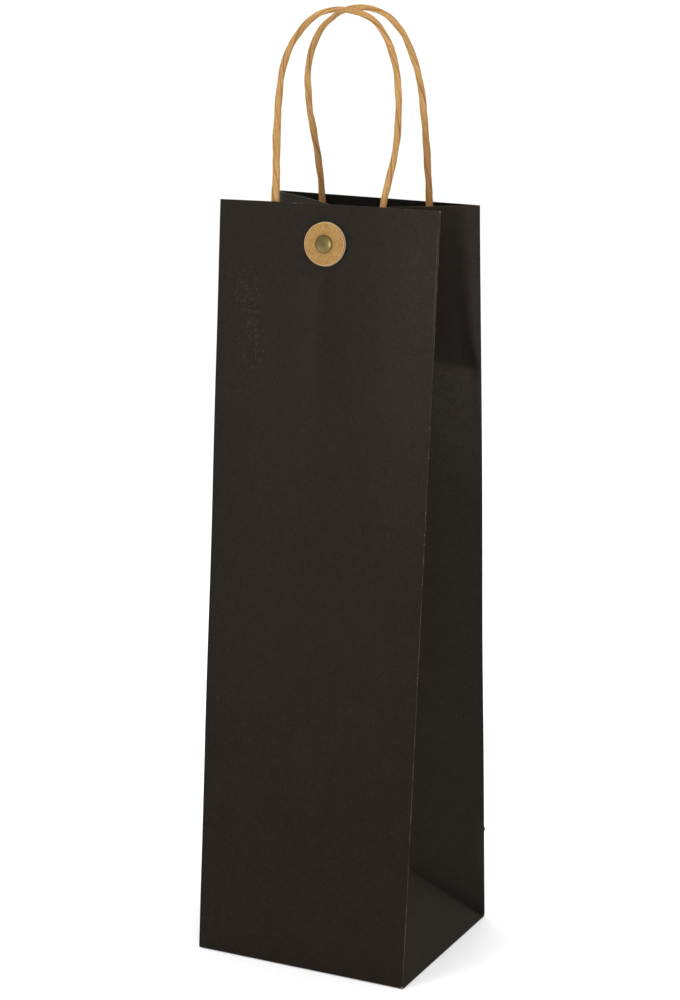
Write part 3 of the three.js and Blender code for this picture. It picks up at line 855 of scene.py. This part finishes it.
def patch_marks(name):
    """For each point of a patch: distance from a sharp fold, worn distance, rubbed tone with painted light
    and shade, dust, second fold.
    """
    grid = PATCHES[name][0]
    to_first = np.linalg.norm(grid - grid[:, :1], axis=2) / MM
    to_last = np.linalg.norm(grid - grid[:, -1:], axis=2) / MM
    to_mouth = np.linalg.norm(grid - grid[-1:], axis=2) / MM
    to_foot = np.linalg.norm(grid - grid[:1], axis=2) / MM
    place, part = name
    marks = np.zeros((*grid.shape[:2], 3))
    if part == "panel":
        fold = np.minimum(to_first, to_last)
        worn_left = to_first + EDGE_LESS_WORN[place, "left"]
        worn_right = to_last + EDGE_LESS_WORN[place, "right"]
        worn = np.minimum(np.minimum(worn_left, worn_right), np.minimum(to_mouth + 0.15, to_foot + 0.3))
        steps, marked = ACROSS[place], lambda step, up: panel_marks(place, step, up)
    elif place == "base":
        # The lower triangles are lightened all over: painted light for how they face the light.
        marks[:, :, 0] = 0.4
        return np.full(grid.shape[:2], 9.0), to_foot + 0.25, marks
    else:
        fold = to_first
        worn = np.minimum(to_first + EDGE_LESS_WORN[place, part], to_mouth + 0.15)
        steps, marked = INWARD, lambda step, up: gusset_marks(place, part, step, up)
    for j, up in enumerate(UP):
        for i, step in enumerate(steps):
            marks[j, i] = marked(step, up)
    return fold, worn, marks


def sheet_marks(patch_names, order):
    """The marks of several patches together, one row for each point of their sheet."""
    count = len(order)
    fold, worn, marks = np.full(count, 99.0), np.full(count, 99.0), np.zeros((count, 3))
    for patch in patch_names:
        patch_fold, patch_worn, patch_mark = patch_marks(patch)
        for place in np.ndindex(patch_fold.shape):
            i = order[key(PATCHES[patch][0][place])]
            fold[i] = min(fold[i], patch_fold[place])
            worn[i] = min(worn[i], patch_worn[place])
            marks[i] = patch_mark[place]
    return fold, worn, marks


def paper_piece(name, patch_names, extra=()):
    """A closed sheet over some patches: outer face, inner face, and a rim along its open edges."""
    outer_faces = [face for patch in patch_names for face in PATCH_FACES[patch]]
    order = {}
    for face in outer_faces:
        for k in face:
            order.setdefault(k, len(order))
    count = len(order)
    fold, worn, marks = sheet_marks(patch_names, order)
    outer, inner, corners = [], [], []
    for i, k in enumerate(order):
        point, normal = SHELL[k]
        normal = normal / max(np.linalg.norm(normal), 1e-12)
        thickness = PAPER if k in MOUTH_KEYS else min(PAPER, (0.07 + 0.25 * fold[i]) * MM)
        outer.append(point)
        inner.append(point - normal * thickness)
        corners.append(min((Vector(point) - c).length / MM + less for c, less in CORNER_LESS_WORN))
    faces = [[order[k] for k in face] for face in outer_faces]
    material = [0] * len(faces)
    directed = {(f[i], f[(i + 1) % len(f)]) for f in faces for i in range(len(f))}
    mouth = {order[k] for k in order if k in MOUTH_KEYS}
    faces += [[i + count for i in reversed(f)] for f in faces]
    material += [1] * len(material)
    for a, b in sorted(directed):
        if (b, a) not in directed:
            faces.append([b, a, a + count, b + count])
            material.append(2 if a in mouth and b in mouth else 0)
    points = outer + inner
    for point in points:
        point[2] = max(point[2], 0.0)
    for plate_points, plate_faces in extra:
        start = len(points)
        points += plate_points
        faces += [[i + start for i in f] for f in plate_faces]
        material += [0] * len(plate_faces)
    looks = [MATERIALS[look] for look in ("outside", "inside", "cut_edge")]
    made = new_object(name, points, faces, looks, material)
    plates = len(points) - 2 * count
    add_attribute(made, "worn_distance", [*worn, *worn, *[9.0] * plates])
    add_attribute(made, "corner_distance", [*corners, *corners, *[99.0] * plates])
    for column, attribute in enumerate(("rub", "dust", "second_fold")):
        values = marks[:, column]
        add_attribute(made, attribute, [*values, *values, *[0.0] * plates])
    return made, order, count


def wall_share(face, order, count):
    """How far each point follows its wall: fully on the panel, less towards the gusset's folds."""
    share = np.zeros(count)
    for patch, (grid, _) in PATCHES.items():
        if patch == (face, "panel"):
            for k in map(key, grid.reshape(-1, 3)):
                share[order[k]] = 1
    for hand in HANDS:
        grid = GUSSET[face, hand]
        for j, up in enumerate(UP):
            for i, inward in enumerate(INWARD):
                if i == 0:
                    continue
                away = inward / (DEPTH / 2)
                above_diagonal = up / (up + 0.5 * inward + 1e-9)
                share[order[key(grid[j, i])]] = (1 - away) * above_diagonal
    return np.concatenate([share, share])


def add_wall_piece(face):
    names = [(face, "panel"), (face, "left"), (face, "right")]
    made, order, count = paper_piece(f"paper_{face}", names)
    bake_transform(made)
    weights = wall_share(face, order, count).astype(np.float32)
    halves = [f"gusset_{hand}_{face}_half" for hand in HANDS]
    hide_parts(f"{face}_panel", *halves)


for face in FACES:
    add_wall_piece(face)


# ---- Base: the folded bottom with its glued flaps ----

def plate(outline, low, high):
    """A flat plate with a polygon outline, as points and faces."""
    n = len(outline)
    points = [np.array((x, y, z)) for z in (low, high) for x, y in outline]
    faces = [list(reversed(range(n))), list(range(n, 2 * n))]
    faces += [[i, (i + 1) % n, n + (i + 1) % n, n + i] for i in range(n)]
    return points, faces


def add_base_piece():
    x, y = WIDTH / 2 - 0.5 * MM, DEPTH / 2 - 0.5 * MM
    cut = 34 * MM
    bottom = plate([(-x, -y), (x, -y), (x, y), (-x, y)], 0.5 * MM, 0.5 * MM + PAPER)
    front_flap = plate([(-x, -y), (x, -y), (x - cut, -9 * MM), (cut - x, -9 * MM)], 0.25 * MM, 0.48 * MM)
    overlap = -11 * MM
    back_flap = plate([(cut - x, overlap), (x - cut, overlap), (x, y), (-x, y)], 0.0, 0.23 * MM)
    triangles = [("base", hand) for hand in HANDS]
    made, _, _ = paper_piece("paper_base", triangles, (bottom, front_flap, back_flap))
    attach(made, "base")
    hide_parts("bottom_panel", "gusset_left_lower_triangle", "gusset_right_lower_triangle")


add_base_piece()


# ---- Button: two card discs on a domed rivet ----

BUTTON = joint("button_spin")
BUTTON_OUT = Vector(BUTTON["axis"]).normalized()
BUTTON_CENTRE = Vector(BUTTON["pos_m"])


def spread_along(node):
    """A node's lowest and highest place along the rivet, and its widest radius about it."""
    offsets = [v.co - BUTTON_CENTRE for v in frame["nodes"][node].data.vertices]
    heights = [o.dot(BUTTON_OUT) for o in offsets]
    radii = [(o - BUTTON_OUT * o.dot(BUTTON_OUT)).length for o in offsets]
    return min(heights), max(heights), min(radii), max(radii)


TURNED_SEGMENTS = 96


def turned_piece(name, profile, look, wobble, seed):
    """A turned piece about the rivet; the profile is (radius, height, rim) from the inside out."""
    side = Vector((1, 0, 0))
    side = (side - BUTTON_OUT * side.dot(BUTTON_OUT)).normalized()
    other = BUTTON_OUT.cross(side)
    points, rims, faces = [], [], []
    for k in range(TURNED_SEGMENTS):
        angle = 2 * math.pi * k / TURNED_SEGMENTS
        direction = side * math.cos(angle) + other * math.sin(angle)
        for radius, height, rim in profile:
            uneven = 1 + wobble * noise.noise(Vector((2.2 * math.cos(angle), 2.2 * math.sin(angle), seed)))
            lift = wobble * 4 * MM * noise.noise(direction * (radius * 260) + Vector((seed, 0, 3)))
            at = height + lift * smooth_step(radius, 4 * MM, 11 * MM)
            points.append(BUTTON_CENTRE + direction * (radius * uneven) + BUTTON_OUT * at)
            rims.append(rim)
    n = len(profile)
    for k in range(TURNED_SEGMENTS):
        after = (k + 1) % TURNED_SEGMENTS
        for i in range(n):
            nxt = (i + 1) % n
            faces.append((k * n + i, after * n + i, after * n + nxt, k * n + nxt))
    made = new_object(name, points, faces, [MATERIALS[look]])
    add_attribute(made, "rim", rims)
    return made


def disc_profile(low, high, inner, outer, darkest):
    """A card disc's section with softened edges; rim is the share of the radius, 2 on its side
    and more below, up to the darkest wanted."""
    # Rim values near 1 get the card's painted highlight, from 1.25 painted shade on the side, and from 2.1
    # darker painted shade in the gap below.
    soft_edge = 0.28 * MM
    profile = [(inner, low + 0.1 * MM, 0.2), (inner, high - 0.1 * MM, 0.2), (inner + 0.1 * MM, high, 0.2)]
    for share in np.linspace(0.25, 0.96, 12):
        profile.append((inner + (outer - inner) * share, high, inner / outer + share * (1 - inner / outer)))
    for k in range(1, 6):
        angle = math.pi / 2 * k / 5
        radius = outer - soft_edge + soft_edge * math.sin(angle)
        profile.append((radius, high - soft_edge + soft_edge * math.cos(angle), 0.99 + 0.2 * k))
    for k in range(6):
        angle = math.pi / 2 * k / 5
        radius = outer - soft_edge + soft_edge * math.cos(angle)
        profile.append((radius, low + soft_edge - soft_edge * math.sin(angle), 2.0 + 0.16 * k))
    profile.append((inner + (outer - inner) * 0.5, low, 2.8))
    return [(radius, height, min(rim, darkest)) for radius, height, rim in profile]


def add_discs():
    # The last number caps the rim values, so the front disc's side gets painted shade and the rear disc's
    # side stays light.
    discs = (("button_disc_front", 0.25 * MM, 3), ("button_disc_rear", 0, 1.2))
    for seed, (node, trimmed, darkest) in enumerate(discs):
        low, high, inner, outer = spread_along(node)
        profile = disc_profile(low, high, inner, outer - trimmed, darkest)
        made = turned_piece(f"card_{node}", profile, "kraft_card", 0.012, seed * 7)
        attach(made, "button")
        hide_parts(node)


def add_rivet():
    low, high, _, head_radius = spread_along("rivet")
    head_low = spread_along("button_disc_front")[1] + 0.12 * MM
    shank, tail, edge = 1.5 * MM, 2.4 * MM, 0.3 * MM
    profile = [(0.02 * MM, low, 0), (tail * 0.8, low, 0), (tail, low + 0.2 * MM, 0)]
    profile += [(tail, low + 0.6 * MM, 0), (shank, low + 0.62 * MM, 0), (shank, head_low, 0)]
    profile.append((head_radius - 0.25 * MM, head_low, 0))
    for k in range(20):
        angle = math.pi / 2 * k / 20
        height = head_low + edge + (high - head_low - edge) * math.sin(angle)
        profile.append((head_radius * math.cos(angle), height, 0))
    profile.append((0.02 * MM, high, 0))
    made = turned_piece("domed_rivet", profile, "aged_brass", 0.004, 3.0)
    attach(made, "front_wall")
    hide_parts("rivet")


add_discs()
add_rivet()


# ---- CAD nodes that stay, with finished materials ----

CARRIED_OVER = {
    "base_board": "grey_board",
    "front_patch_backing": "kraft_sheet",
    "front_patch_cover": "kraft_sheet",
    "back_patch_backing": "kraft_sheet",
    "back_patch_cover": "kraft_sheet",
    "rivet_washer": "aged_brass",
}
for node, look in CARRIED_OVER.items():
    mesh = frame["nodes"][node].data
    mesh.materials.clear()
    mesh.materials.append(MATERIALS[look])


# ---- Stage: pale floor and soft studio light ----

def pale_floor():
    n = Nodes("pale_floor")
    base = n.mix(n.noise(3, 2), (0.93, 0.93, 0.93), (0.95, 0.95, 0.95))
    n.look(Base_Color=base, Roughness=0.9, Specular_IOR_Level=0.1)
    return n.material


def add_floor():
    """A flat round floor whose far edge curves up, so that no horizon shows."""
    below, flat, curve = -0.0004, 3.2, 1.3
    profile = [(0.6 * k, below) for k in range(1, 6)]
    for k in range(13):
        angle = math.radians(80) * k / 12
        profile.append((flat + curve * math.sin(angle), below + curve * (1 - math.cos(angle))))
    segments = 64
    points = [(0, 0, below)]
    for radius, height in profile:
        for k in range(segments):
            angle = 2 * math.pi * k / segments
            points.append((radius * math.cos(angle), radius * math.sin(angle), height))
    faces = [(0, 1 + k, 1 + (k + 1) % segments) for k in range(segments)]
    for ring in range(len(profile) - 1):
        for k in range(segments):
            a, b = 1 + ring * segments + k, 1 + ring * segments + (k + 1) % segments
            faces.append((a, a + segments, b + segments, b))
    new_object("floor", points, faces, [pale_floor()])


LIGHT_AIM = Vector((0, 0, 0.22))  # the middle of the bag


def add_softbox(name, place, size, power, seen_in_gloss=True):
    data = bpy.data.lights.new(name, "AREA")
    data.shape = "RECTANGLE"
    data.size, data.size_y = size
    data.energy = power
    light = bpy.data.objects.new(name, data)
    bpy.context.scene.collection.objects.link(light)
    light.location = place
    light.visible_glossy = seen_in_gloss
    light.rotation_mode = "QUATERNION"
    light.rotation_quaternion = (LIGHT_AIM - Vector(place)).to_track_quat("-Z", "Y")


def add_light():
    world = bpy.data.worlds.new("studio")
    world.use_nodes = True
    background = world.node_tree.nodes["Background"]
    background.inputs["Color"].default_value = (1, 1, 1, 1)
    background.inputs["Strength"].default_value = 1.0
    bpy.context.scene.world = world
    add_softbox("key_softbox", (-1.2, -2.0, 1.7), (1.1, 1.1), 26, seen_in_gloss=False)
    add_softbox("right_softbox", (1.15, -1.75, 0.45), (1.0, 1.3), 17)
    add_softbox("top_softbox", (0.2, 0.1, 2.1), (1.4, 1.4), 18, seen_in_gloss=False)


add_floor()
add_light()
bpy.context.scene.view_settings.view_transform = "Standard"
